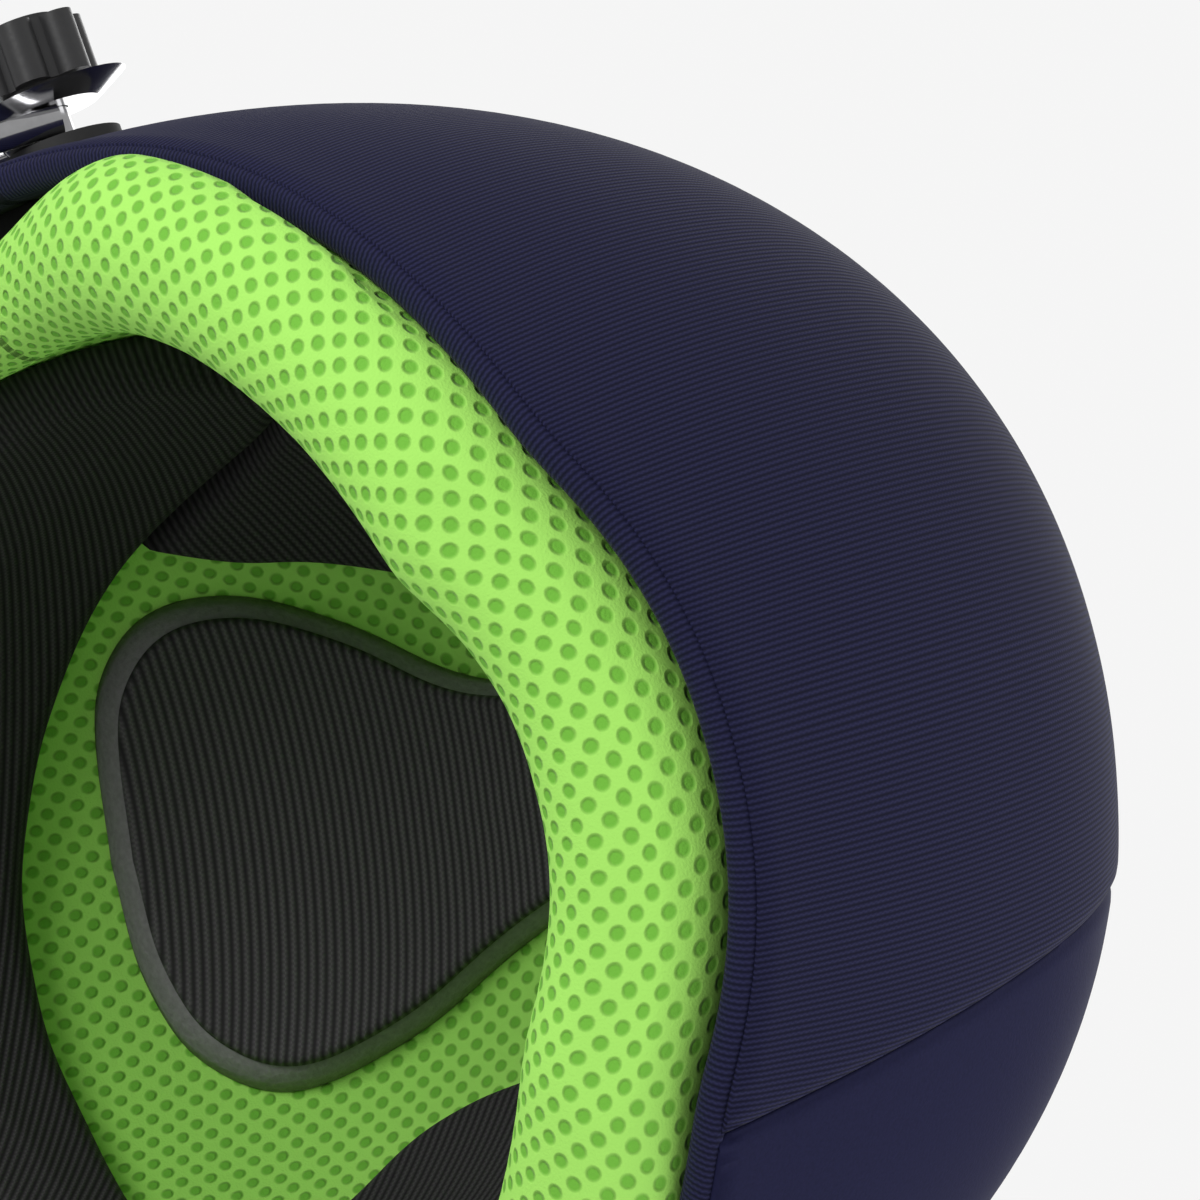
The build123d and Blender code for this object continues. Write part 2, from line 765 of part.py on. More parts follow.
def build():
    """All nodes by name, in the wearer's position."""
    nodes = {}
    nodes["hard_shell"] = hard_shell()
    nodes["peak_board"] = peak_board()
    nodes["cover_ribbed_panel"], nodes["cover_smooth_panel"] = covers()
    nodes["peak_cover"] = peak_cover()
    nodes["rim_binding"] = rim_binding()
    for name, make in (("impact_liner", impact_liner), ("mesh_lining", mesh_lining)):
        nodes[name + "_left"] = make()
        nodes[name + "_right"] = mirrored(nodes[name + "_left"])
    nodes["headband_roll"] = headband_roll()
    nodes["crown_pad_foam"], nodes["crown_pad_face"] = crown_pad()
    nodes["front_pad"] = front_pad()
    nodes["side_pad_left"] = side_pad()
    nodes["side_pad_right"] = mirrored(nodes["side_pad_left"])
    nodes["hook_patches"] = hook_patches()
    fixings = {"wire_seat": wire_seat, "cup_washer": cup_washer, "knob": knob}
    fixings |= {"guard_stud": stud, "backing_plate": backing_plate}
    hangers = {"strap_hanger": strap_hanger, "hanger_rivet": hanger_rivet}
    hangers |= {"strap_pivot": strap_pivot, "strap_eyelet": eyelet}
    for name, make in (fixings | hangers).items():
        nodes[name + "_left"] = make()
        nodes[name + "_right"] = mirrored(nodes[name + "_left"])
    nodes["guard_frame"] = guard_frame()
    for bar in range(middle_bars):
        nodes[f"guard_bar_{bar + 1}"] = guard_bar((bar + 1) / (middle_bars + 1))
    for name, make in (("guard_front_upright", front_upright), ("guard_side_upright", side_upright)):
        nodes[name + "_left"] = make()
        nodes[name + "_right"] = mirrored(nodes[name + "_left"])
    bands = webbing()
    nodes["strap_short"] = bands[-1]
    nodes["strap_long"] = bands[0]
    nodes["buckle_socket"] = buckle_socket()
    nodes["buckle_plug"] = buckle_plug()
    nodes["strap_slider"] = strap_slider()
    nodes["chin_cup"] = chin_cup()
    return nodes


def stand(nodes):
    """Tip the helmet back onto its guard and rear edge, with its middle over the origin."""
    tilt = table_tilt()
    rear = nodes["rim_binding"].rotate(Axis.X, -tilt).bounding_box()
    front = nodes["guard_frame"].rotate(Axis.X, -tilt).bounding_box()
    tilt += degrees(atan2(rear.min.Z - front.min.Z, rear.max.Y - front.min.Y))
    tipped = {name: shape.rotate(Axis.X, -tilt) for name, shape in nodes.items()}
    boxes = [shape.bounding_box() for shape in tipped.values()]
    face = min(box.min.Y for box in boxes)
    back = max(box.max.Y for box in boxes)
    floor = min(box.min.Z for box in boxes)
    print("tilt", tilt, "shift", -(face + back) / 2, -floor)
    return {name: Pos(0, -(face + back) / 2, -floor) * shape for name, shape in tipped.items()}


os.makedirs("parts", exist_ok=True)
for node, solid in stand(build()).items():
    export_step(solid, f"parts/{node}.step")
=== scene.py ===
import math

import bmesh
import bpy
import numpy
from mathutils import Matrix, Vector


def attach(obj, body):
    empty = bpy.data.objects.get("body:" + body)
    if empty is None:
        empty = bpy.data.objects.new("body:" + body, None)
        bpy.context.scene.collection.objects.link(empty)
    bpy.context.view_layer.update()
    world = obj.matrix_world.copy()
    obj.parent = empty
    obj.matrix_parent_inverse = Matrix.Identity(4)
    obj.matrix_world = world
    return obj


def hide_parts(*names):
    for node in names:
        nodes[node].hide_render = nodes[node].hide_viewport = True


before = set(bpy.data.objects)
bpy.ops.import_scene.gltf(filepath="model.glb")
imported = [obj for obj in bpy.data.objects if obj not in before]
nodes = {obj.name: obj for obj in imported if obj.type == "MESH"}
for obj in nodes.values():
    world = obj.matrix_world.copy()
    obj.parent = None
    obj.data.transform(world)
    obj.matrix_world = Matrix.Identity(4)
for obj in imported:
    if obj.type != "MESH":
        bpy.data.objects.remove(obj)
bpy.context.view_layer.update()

rng = numpy.random.default_rng(7)
fullTurn = 2 * math.pi
tiny = 0.000001
weldGap = {"cloth": 0.00001, "pad": 0.00003}

# Points are written in millimetres in the wearer's position, then tipped onto the table
standing = {"tilt": 22.58159, "back": 23.2796, "up": 86.9815, "perMetre": 1000}


def turned(points):
    p = numpy.asarray(points, float)
    a = math.radians(standing["tilt"])
    y = p[..., 1] * math.cos(a) + p[..., 2] * math.sin(a)
    z = -p[..., 1] * math.sin(a) + p[..., 2] * math.cos(a)
    return numpy.stack([p[..., 0], y, z], -1)


def placed(points):
    return (turned(points) + numpy.array([0, standing["back"], standing["up"]])) / standing["perMetre"]


# Small sums that many pieces share
def lengths(vectors):
    return numpy.sqrt((vectors ** 2).sum(-1))


def runLengths(points):
    steps = lengths(numpy.diff(points, axis=0))
    return numpy.concatenate([numpy.zeros((1, *steps.shape[1:])), numpy.cumsum(steps, 0)])


def blend(first, second, share):
    return first * (1 - share) + second * share


def eased(value, low, high):
    share = numpy.clip((value - low) / (high - low), 0, 1)
    return share * share * (3 - 2 * share)


def degreesFromFront(phi):
    return numpy.degrees(abs((phi + math.pi / 2 + math.pi) % fullTurn - math.pi))


# Head form of the covered shell
head = {
    "half": 104.9, "front": 121.5, "rear": 124.2, "crown": 110.9,
    "plan": 2.09, "side": 2.19, "tuck": 0.33, "tuckOver": 100,
}
# Height of its lower edge: waves round the head, a level brow, and never under the table
rimShape = {
    "mean": -30.71, "one": 17.29, "two": -9.33, "three": -4.08,
    "brow": -14.0, "browEnds": (38, 64), "ease": 0.8, "clear": 0.4,
}


def levelShare(z, inset):
    top = head["crown"] - inset
    up = numpy.clip(z / top, 0, 1)
    above = (1 - up ** head["side"]) ** (1 / head["side"])
    return numpy.where(z >= 0, above, 1 - head["tuck"] * (z / head["tuckOver"]) ** 2)


def formLevel(phi, z, inset):
    c, s = numpy.cos(phi), numpy.sin(phi)
    k = levelShare(z, inset)
    power = 2 / head["plan"]
    reach = numpy.where(s > 0, head["rear"], head["front"]) - inset
    x = (head["half"] - inset) * numpy.sign(c) * abs(c) ** power * k
    y = reach * numpy.sign(s) * abs(s) ** power * k
    return numpy.stack([x, y, z + 0 * x], -1)


# Height in the wearer's position of the table that the helmet lies on
def tableLevel(y):
    a = math.radians(standing["tilt"])
    return (y * math.sin(a) + rimShape["clear"] - standing["up"]) / math.cos(a)


def rimLevel(phi):
    t = phi + math.pi / 2
    wave = rimShape["mean"] + rimShape["one"] * numpy.cos(t) + rimShape["two"] * numpy.cos(2 * t)
    wave = wave + rimShape["three"] * numpy.cos(3 * t)
    level = blend(rimShape["brow"], wave, eased(degreesFromFront(phi), *rimShape["browEnds"]))
    table = tableLevel(formLevel(phi, level, 0)[..., 1])
    return table + numpy.logaddexp(0, (level - table) / rimShape["ease"]) * rimShape["ease"]


# Points of the lower edge, and the directions that lead outward there
def edgeRing(phi):
    base = formLevel(phi, rimLevel(phi), 0)
    outward = base - formLevel(phi, rimLevel(phi), 1)
    return base, outward / lengths(outward)[:, None]


# A direction from the middle of the head, given by a map that is flat around the crown
flatMap = {"scale": 86.0, "near": 10.0, "far": 170.0, "halvings": 32}


def mapPoint(m, inset):
    m = numpy.asarray(m, float)
    theta = numpy.hypot(m[..., 0], m[..., 1])
    phi = numpy.arctan2(m[..., 1], m[..., 0])
    around, plan = numpy.sin(theta), head["plan"]
    d = numpy.stack([around * numpy.cos(phi), around * numpy.sin(phi), numpy.cos(theta)], -1)
    low = numpy.full(theta.shape, flatMap["near"])
    high = numpy.full(theta.shape, flatMap["far"])
    top = head["crown"] - inset
    for _ in range(flatMap["halvings"]):
        r = (low + high) / 2
        x, y, z = d[..., 0] * r, d[..., 1] * r, d[..., 2] * r
        reach = numpy.where(y > 0, head["rear"], head["front"]) - inset
        g = (abs(x / (head["half"] - inset)) ** plan + abs(y / reach) ** plan) ** (1 / plan)
        k = numpy.where(z < top, levelShare(numpy.minimum(z, top), inset), 0)
        inside = (g < k) & (z < top)
        low, high = numpy.where(inside, r, low), numpy.where(inside, high, r)
    return d * ((low + high) / 2)[..., None]


def toMap(points):
    p = numpy.asarray(points, float)
    theta = numpy.arccos(p[..., 2] / lengths(p))
    flat = numpy.maximum(numpy.hypot(p[..., 0], p[..., 1]), tiny)
    return numpy.stack([theta * p[..., 0] / flat, theta * p[..., 1] / flat], -1)


# Meshes
def meshOf(name, verts, faces, uvs=None, smooth=True):
    mesh = bpy.data.meshes.new(name)
    mesh.from_pydata([tuple(v) for v in verts], [], faces)
    if uvs is not None:
        layer = mesh.uv_layers.new(name="flat")
        index = numpy.zeros(len(mesh.loops), int)
        mesh.loops.foreach_get("vertex_index", index)
        layer.data.foreach_set("uv", numpy.asarray(uvs, float)[index].ravel())
    mesh.polygons.foreach_set("use_smooth", [smooth] * len(mesh.polygons))
    mesh.update()
    made = bpy.data.objects.new(name, mesh)
    bpy.context.scene.collection.objects.link(made)
    return made


def gridFaces(rows, columns, around=False):
    faces = []
    last = columns if around else columns - 1
    for r in range(rows - 1):
        for c in range(last):
            a, b = r * columns + c, r * columns + (c + 1) % columns
            faces.append((a, b, b + columns, a + columns))
    return faces


def gridMesh(name, points, uv, around=False):
    rows, columns = points.shape[:2]
    faces = gridFaces(rows, columns, around)
    return meshOf(name, placed(points).reshape(-1, 3), faces, uv.reshape(-1, 2))


# Material helpers
dull = {"sheenRough": 0.4, "fromRough": 0.7, "specular": 0.15}


def newMaterial(name, kind):
    made = bpy.data.materials.new(name)
    made.use_nodes = True
    shader = made.node_tree.nodes["Principled BSDF"]
    metal = kind.get("metal", 0.0)
    shader.inputs["Base Color"].default_value = (*kind["color"], 1)
    shader.inputs["Roughness"].default_value = kind["rough"]
    shader.inputs["Metallic"].default_value = metal
    shader.inputs["Sheen Weight"].default_value = kind.get("sheen", 0.0)
    shader.inputs["Sheen Roughness"].default_value = dull["sheenRough"]
    if metal == 0 and kind["rough"] > dull["fromRough"]:
        shader.inputs["Specular IOR Level"].default_value = dull["specular"]
    return made, made.node_tree, shader


def mathNode(tree, operation, a, b=None, c=None):
    node = tree.nodes.new("ShaderNodeMath")
    node.operation = operation
    for slot, value in enumerate((a, b, c)):
        if value is None:
            continue
        if isinstance(value, (int, float)):
            node.inputs[slot].default_value = value
        else:
            tree.links.new(value, node.inputs[slot])
    return node.outputs[0]


def rangeNode(tree, value, low, high, toLow=0.0, toHigh=1.0):
    node = tree.nodes.new("ShaderNodeMapRange")
    node.interpolation_type = "SMOOTHSTEP"
    tree.links.new(value, node.inputs["Value"])
    for key, number in (("From Min", low), ("From Max", high), ("To Min", toLow), ("To Max", toHigh)):
        node.inputs[key].default_value = number
    return node.outputs["Result"]


def mixColor(tree, factor, first, second):
    node = tree.nodes.new("ShaderNodeMix")
    node.data_type = "RGBA"
    tree.links.new(factor, node.inputs[0])
    for slot, value in ((6, first), (7, second)):
        node.inputs[slot].default_value = (*value, 1)
    return node.outputs[2]


def noiseNode(tree, scale, detail=2.0):
    node = tree.nodes.new("ShaderNodeTexNoise")
    node.inputs["Scale"].default_value = scale
    node.inputs["Detail"].default_value = detail
    tree.links.new(tree.nodes.new("ShaderNodeTexCoord").outputs["Object"], node.inputs["Vector"])
    return node.outputs["Fac"]


def splitCoordinates(tree, kind):
    split = tree.nodes.new("ShaderNodeSeparateXYZ")
    tree.links.new(tree.nodes.new("ShaderNodeTexCoord").outputs[kind], split.inputs[0])
    return split.outputs["X"], split.outputs["Y"], split.outputs["Z"]


# Colour from a share between dark and light, and relief from a height; on ribs and holes the dark end is
# painted shade in the recesses
def shade(tree, shader, kind, share, height=None, level=1.0):
    # level scales both colours; on the crown pad face it paints the jersey lighter, as painted light
    dark, light = (tuple(part * level for part in kind[key]) for key in ("dark", "color"))
    tree.links.new(mixColor(tree, share, dark, light), shader.inputs["Base Color"])
    bump = tree.nodes.new("ShaderNodeBump")
    bump.inputs["Strength"].default_value = 1.0
    bump.inputs["Distance"].default_value = kind["depth"]
    tree.links.new(share if height is None else height, bump.inputs["Height"])
    tree.links.new(bump.outputs["Normal"], shader.inputs["Normal"])


# One family of ribs with dotted grooves, shared by the knitted and woven fabrics; where the height is low
# the colour takes the painted groove shade
ribBead = {"swing": 0.2, "mean": 0.8}


def waveNode(tree, turns, swing, mean):
    angle = mathNode(tree, "MULTIPLY", turns, fullTurn)
    return mathNode(tree, "MULTIPLY_ADD", mathNode(tree, "COSINE", angle), swing, mean)


def ribGroup():
    group = bpy.data.node_groups.new("knitRibs", "ShaderNodeTree")
    for name in ("Across", "Along", "Pitch", "Stitch"):
        group.interface.new_socket(name=name, in_out="INPUT", socket_type="NodeSocketFloat")
    group.interface.new_socket(name="Height", in_out="OUTPUT", socket_type="NodeSocketFloat")
    entry = group.nodes.new("NodeGroupInput").outputs
    leave = group.nodes.new("NodeGroupOutput")
    count = mathNode(group, "DIVIDE", entry["Across"], entry["Pitch"])
    ridge = waveNode(group, count, 0.5, 0.5)
    shift = mathNode(group, "MULTIPLY", mathNode(group, "FLOOR", count), 0.5)
    beat = mathNode(group, "ADD", mathNode(group, "DIVIDE", entry["Along"], entry["Stitch"]), shift)
    bead = waveNode(group, beat, ribBead["swing"], ribBead["mean"])
    group.links.new(mathNode(group, "MULTIPLY", ridge, bead), leave.inputs["Height"])
    return group


ribs = ribGroup()


def useRibs(tree, across, along, kind):
    node = tree.nodes.new("ShaderNodeGroup")
    node.node_tree = ribs
    tree.links.new(across, node.inputs["Across"])
    tree.links.new(along, node.inputs["Along"])
    node.inputs["Pitch"].default_value = kind["pitch"]
    node.inputs["Stitch"].default_value = kind["stitch"]
    return node.outputs["Height"]


# Ribbed fabrics, with the ribs laid out on the flat pattern of the piece; their dark colour is painted
# shade in the grooves between the ribs
# navy: the dark colour is painted shade in the grooves between the knit ribs
navy = {
    "color": (0.0232, 0.024, 0.078), "dark": (0.005, 0.0052, 0.02),
    "pitch": 0.85, "stitch": 0.9, "depth": 0.00012, "rough": 0.86, "sheen": 0.04,
}
# jersey: the dark colour is painted shade in the grooves between the ribs
jersey = {
    # the crown pad face is painted this many times lighter than the same jersey, as painted light
    "color": (0.073, 0.068, 0.074), "dark": (0.017, 0.0155, 0.0175), "crownPaintedLight": 1.75,
    "pitch": 1.6, "stitch": 1.0, "depth": 0.00025, "rough": 0.85, "sheen": 0.04,
}


def ribbedFabric(name, kind, level=1.0):
    made, tree, shader = newMaterial(name, kind)
    across, along, _ = splitCoordinates(tree, "UV")
    shade(tree, shader, kind, useRibs(tree, across, along, kind), level=level)
    return made


# Woven strap tape, laid out in the strap's own upright plane; its dark colour is painted shade in the
# grooves of the weave
tape = {
    # dark: painted shade in the grooves of the weave
    "color": (0.024, 0.024, 0.026), "dark": (0.008, 0.008, 0.009),
    "pitch": 1.5, "stitch": 1.5, "depth": 0.0002, "rough": 0.7, "sheen": 0.2, "perMetre": 1000.0,
}


def wovenTape():
    made, tree, shader = newMaterial("wovenTape", tape)
    x, y, z = splitCoordinates(tree, "Object")
    across = mathNode(tree, "MULTIPLY", y, tape["perMetre"])
    along = mathNode(tree, "MULTIPLY", mathNode(tree, "ADD", x, z), tape["perMetre"])
    shade(tree, shader, tape, useRibs(tree, across, along, tape))
    return made


# Lime spacer mesh with a staggered lattice of holes; the darker green in the holes is painted shade
lime = {
    # dark: painted shade seen inside the holes
    "color": (0.43, 0.88, 0.155), "dark": (0.19, 0.54, 0.055), "rough": 0.75, "sheen": 0.04,
    "pitch": 4.6, "radius": 1.0, "lipShares": (0.6, 1.25), "depth": 0.0004,
    "wobble": {"scale": 160.0, "size": 0.5}, "yarn": {"scale": 2600.0, "size": 0.25},
}


def spacerMesh():
    made, tree, shader = newMaterial("limeSpacerMesh", lime)
    across, along, _ = splitCoordinates(tree, "UV")
    wobble = mathNode(tree, "SUBTRACT", noiseNode(tree, lime["wobble"]["scale"]), 0.5)
    drift = mathNode(tree, "MULTIPLY", wobble, lime["wobble"]["size"])
    distances = []
    for offset in (0.0, 0.5):
        squares = []
        for value in (across, along):
            moved = mathNode(tree, "DIVIDE", mathNode(tree, "ADD", value, drift), lime["pitch"])
            cell = mathNode(tree, "ADD", moved, offset)
            away = mathNode(tree, "SUBTRACT", mathNode(tree, "FRACT", cell), 0.5)
            squares.append(mathNode(tree, "POWER", away, 2.0))
        distances.append(mathNode(tree, "SQRT", mathNode(tree, "ADD", *squares)))
    near = mathNode(tree, "MULTIPLY", mathNode(tree, "MINIMUM", *distances), lime["pitch"])
    wall = rangeNode(tree, near, *(lime["radius"] * share for share in lime["lipShares"]))
    yarn = mathNode(tree, "MULTIPLY", noiseNode(tree, lime["yarn"]["scale"]), lime["yarn"]["size"])
    # the holes take the dark colour as painted shade
    shade(tree, shader, lime, wall, mathNode(tree, "ADD", wall, yarn))
    return made


# Surfaces whose only detail is a fine grain
grains = {
    "navySmoothCloth": {"color": (0.0115, 0.0122, 0.051), "dark": (0.0065, 0.007, 0.032),
        "scale": 1800.0, "detail": 2.0, "depth": 0.00006, "rough": 0.8},
    "cutFoam": {"color": (0.3, 0.29, 0.3), "dark": (0.16, 0.155, 0.16),
        "scale": 900.0, "detail": 4.0, "depth": 0.0003, "rough": 0.95},
    "beadFoam": {"color": (0.03, 0.03, 0.031), "dark": (0.015, 0.015, 0.016),
        "scale": 350.0, "detail": 4.0, "depth": 0.0002, "rough": 0.8},
    "shellPlastic": {"color": (0.03, 0.03, 0.045), "dark": (0.02, 0.02, 0.03),
        "scale": 500.0, "detail": 4.0, "depth": 0.00004, "rough": 0.45},
    "knobPlastic": {"color": (0.03, 0.03, 0.031), "dark": (0.024, 0.024, 0.025),
        "scale": 1200.0, "detail": 4.0, "depth": 0.00003, "rough": 0.38},
    "seatRubber": {"color": (0.02, 0.02, 0.02), "dark": (0.012, 0.012, 0.012),
        "scale": 900.0, "detail": 4.0, "depth": 0.00004, "rough": 0.7},
    "platedSteel": {"color": (0.56, 0.56, 0.57), "dark": (0.46, 0.46, 0.47),
        "scale": 700.0, "detail": 4.0, "depth": 0.000008, "rough": 0.16, "metal": 1.0},
    "bucklePlastic": {"color": (0.018, 0.018, 0.018), "dark": (0.012, 0.012, 0.012),
        "scale": 900.0, "detail": 4.0, "depth": 0.00002, "rough": 0.3},
    "hookTape": {"color": (0.02, 0.02, 0.02), "dark": (0.008, 0.008, 0.008),
        "scale": 2200.0, "detail": 4.0, "depth": 0.0003, "rough": 0.9},
}


def grained(name):
    kind = grains[name]
    made, tree, shader = newMaterial(name, kind)
    shade(tree, shader, kind, noiseNode(tree, kind["scale"], kind["detail"]))
    return made


materials = {
    "navyKnit": ribbedFabric("navyRibbedKnit", navy),
    "blackJersey": ribbedFabric("blackRibbedJersey", jersey),
    # The crown pad face is the black jersey painted lighter, as painted light
    "crownJersey": ribbedFabric("crownRibbedJersey", jersey, jersey["crownPaintedLight"]),
    "spacerMesh": spacerMesh(),
    "wovenTape": wovenTape(),
}
for grainName in grains:
    materials[grainName] = grained(grainName)
print("materials ready")


def dress(piece, material, slot, body, *stands):
    piece.data.materials.clear()
    piece.data.materials.append(materials[material])
    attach(piece, body)
    if stands:
        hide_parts(*stands)
    return piece


# Cloth panels over the shell, parted at the seam
cloth = {
    "columns": 300, "rows": 70, "above": 0.8, "thick": 0.0012, "girth": 112.0,
    "bead": {"height": 0.45, "above": 2.4, "width": 1.1},
    "seamX": -42.0, "seamLean": 0.119, "gap": 0.25, "cuts": (0.4, 0.9, 1.5, 2.4, 3.6, 5.0),
    "puff": 0.45, "puffWidth": 9.0, "sink": 0.8, "sinkWidth": 1.0,
}


def outerSkin():
    bead = cloth["bead"]
    phi = numpy.linspace(0, fullTurn, cloth["columns"], endpoint=False)[None, :]
    share = numpy.linspace(0, 1, cloth["rows"])[:, None]
    low = rimLevel(phi) + cloth["above"]
    z = low + (head["crown"] - low) * numpy.sin(share * math.pi / 2)
    lift = bead["height"] * numpy.exp(-((z - low - bead["above"]) / bead["width"]) ** 2)
    points = formLevel(phi + 0 * z, z, 0)
    points = points + (formLevel(phi + 0 * z, z, -1) - points) * lift[..., None]
    ribbing = numpy.broadcast_to(phi * cloth["girth"], z.shape)
    return points, numpy.stack([ribbing, runLengths(points)], -1)


# Keeps one side of the skin, cuts lines beside the seam, and lets the cloth swell and tuck in there
def panel(name, side):
    points, uv = outerSkin()
    closed = numpy.concatenate([points, points[:, :1]], 1)
    uvClosed = numpy.concatenate([uv, uv[:, :1] + numpy.array([fullTurn * cloth["girth"], 0])], 1)
    made = gridMesh(name, closed, uvClosed)
    edit = bmesh.new()
    edit.from_mesh(made.data)
    bmesh.ops.remove_doubles(edit, verts=edit.verts, dist=weldGap["cloth"])
    origin = Vector(placed([cloth["seamX"] + side * cloth["gap"], 0, 0]))
    normal = Vector(turned([1, 0, -cloth["seamLean"]]))
    unit = normal.normalized()
    plane = {"plane_no": normal, "dist": tiny}
    whole = edit.verts[:] + edit.edges[:] + edit.faces[:]
    dropped = {"clear_inner": side > 0, "clear_outer": side < 0}
    bmesh.ops.bisect_plane(edit, geom=whole, plane_co=origin, **dropped, **plane)
    for cut in cloth["cuts"]:
        whole = edit.verts[:] + edit.edges[:] + edit.faces[:]
        line = origin + unit * (side * cut / standing["perMetre"])
        bmesh.ops.bisect_plane(edit, geom=whole, plane_co=line, **plane)
    edit.normal_update()
    for vert in edit.verts:
        away = abs((vert.co - origin).dot(unit)) * standing["perMetre"]
        swell = cloth["puff"] * numpy.exp(-(away / cloth["puffWidth"]) ** 2) * (side > 0)
        swell = swell - cloth["sink"] * numpy.exp(-(away / cloth["sinkWidth"]) ** 2)
        vert.co += vert.normal * swell / standing["perMetre"]
    edit.to_mesh(made.data)
    edit.free()
    made.data.polygons.foreach_set("use_smooth", [True] * len(made.data.polygons))
    thick = made.modifiers.new("thickness", "SOLIDIFY")
    thick.thickness = cloth["thick"]
    thick.offset = -1
    return made


dress(panel("ribbedPanel", 1), "navyKnit", "ribbed_knit", "helmet", "cover_ribbed_panel")
dress(panel("smoothPanel", -1), "navySmoothCloth", "smooth_cloth", "helmet", "cover_smooth_panel")

# Folded edge round the opening: depth under the cloth and height over the lower edge
edgeFold = {
    "columns": 300,
    "profile": ((0.35, 2.4), (0.05, 1.4), (0.3, 0.5), (1.0, 0.0), (2.4, 0.0), (3.8, 0.5),
        (4.8, 1.6), (5.2, 4.0), (5.2, 9.0), (4.8, 9.0), (4.6, 2.2), (1.4, 1.3)),
}


def edgeFoldMesh():
    phi = numpy.linspace(0, fullTurn, edgeFold["columns"], endpoint=False)
    base, outward = edgeRing(phi)
    closed = numpy.array(edgeFold["profile"] + edgeFold["profile"][:1])
    rings = []
    for inset, up in closed:
        ring = base - outward * inset
        ring[:, 2] = rimLevel(phi) + up
        rings.append(ring)
    points = numpy.stack(rings)
    along, across = runLengths(points[0])[None, :], runLengths(closed)[:, None]
    uv = numpy.stack(numpy.broadcast_arrays(along, across), -1)
    return gridMesh("rimBinding", points, uv, around=True)


dress(edgeFoldMesh(), "navyKnit", "ribbed_knit", "helmet", "rim_binding")
print("cloth ready")

# Padded roll inside the lower edge: values at the brow and the temple, and for some at the nape
band = {
    "columns": 400, "sides": 56, "radius": (8.0, 12.5), "inset": (20.6, 12.9, 20.0), "up": (0.5, -2.0, 6.0),
    "temple": (83, 108), "nape": (100, 168), "under": 0.5, "inside": 5.5, "shelf": (-3.0, -0.4),
    "marks": 41, "pucker": 0.25, "clear": 0.5,
}


def rollMesh():
    phi = numpy.linspace(0, fullTurn, band["columns"], endpoint=False)
    base, outward = edgeRing(phi)
    away = degreesFromFront(phi)
    toSide, toRear = eased(away, *band["temple"]), eased(away, *band["nape"])
    inset, up = (blend(blend(brow, temple, toSide), nape, toRear)
        for brow, temple, nape in (band["inset"], band["up"]))
    turn = numpy.linspace(0, fullTurn, band["sides"] + 1)[:, None]
    marks = rng.normal(size=band["marks"])
    marks[-1] = marks[0]
    markPlaces = numpy.linspace(0, fullTurn, band["marks"])
    radius = blend(*band["radius"], toSide) + band["pucker"] * numpy.interp(phi, markPlaces, marks)
    height = up + radius * numpy.sin(turn)
    shelf = band["under"] + (band["inside"] - band["under"]) * eased(height, *band["shelf"])
    depth = numpy.maximum(inset - radius * numpy.cos(turn), shelf)
    points = base[None] - outward[None] * depth[..., None]
    points[..., 2] = rimLevel(phi) + height
    points[..., 2] = numpy.maximum(points[..., 2], tableLevel(points[..., 1]) + band["clear"])
    along = runLengths(base - outward * inset[:, None])[None, :]
    uv = numpy.stack(numpy.broadcast_arrays(along, turn * band["radius"][1]), -1)
    return gridMesh("headbandRoll", points, uv, around=True)


roll = dress(rollMesh(), "spacerMesh", "lime_mesh", "helmet", "headband_roll")

# Nested walls behind the pads: outer and inner depth, and height of the lower end over the edge
walls = {
    "columns": 180, "rows": 44,
    "shell": (1.5, 4.5, 1.6), "foam": (5.3, 20.0, 10.0), "lining": (20.4, 23.6, 9.0),
}


def wallMesh(name, outer, inner, lift, side=0):
    start, sweep = (-side * math.pi / 2, math.pi) if side else (0, fullTurn)
    phi = numpy.linspace(start, start + sweep, walls["columns"])[None, :]
    share = numpy.sin(numpy.linspace(0, 1, walls["rows"]) * math.pi / 2)[:, None]
    low = rimLevel(phi) + lift
    sheets = []
    for inset in (outer, inner):
        z = low + (head["crown"] - inset - low) * share
        sheets.append(formLevel(phi + 0 * z, z, inset))
    points = numpy.concatenate([sheets[0][::-1], sheets[1]])
    return gridMesh(name, points, toMap(points) * flatMap["scale"])


dress(wallMesh("shellWall", *walls["shell"]), "shellPlastic", "shell_plastic", "helmet", "hard_shell")
foamNodes = sorted(name for name in nodes if name.startswith("impact_liner"))
dress(wallMesh("foamLiner", *walls["foam"]), "beadFoam", "liner_foam", "helmet", *foamNodes)
linings = (("meshLiningLeft", 1, "mesh_lining_left"), ("meshLiningRight", -1, "mesh_lining_right"))
for lineName, lineSide, node in linings:
    dress(wallMesh(lineName, *walls["lining"], lineSide), "spacerMesh", "lime_mesh", "helmet", node)
print("walls ready")

# Pads: a patch of the lining between two edge lines, with a crown and drawn-in sides
padGrid = {"columns": 110, "rows": 60, "smoothings": 22, "crowding": 1.35, "crownPower": 0.8, "far": 1000.0}


def resampled(points, count):
    p = numpy.asarray(points, float)
    steps = runLengths(p)
    at = numpy.linspace(0, steps[-1], count)
    line = numpy.stack([numpy.interp(at, steps, p[:, k]) for k in range(p.shape[1])], -1)
    for _ in range(padGrid["smoothings"]):
        line[1:-1] = (line[:-2] + 2 * line[1:-1] + line[2:]) / 4
    return line


def toOutline(flat, outline):
    scaled = outline * flatMap["scale"]
    moves = numpy.roll(scaled, -1, 0) - scaled
    squares = numpy.maximum((moves ** 2).sum(-1), tiny)
    best = numpy.full(flat.shape[:-1], padGrid["far"])
    for start, move, square in zip(scaled, moves, squares):
        offset = flat * flatMap["scale"] - start
        share = numpy.clip((offset * move).sum(-1) / square, 0, 1)
        best = numpy.minimum(best, lengths(offset - share[..., None] * move))
    return best


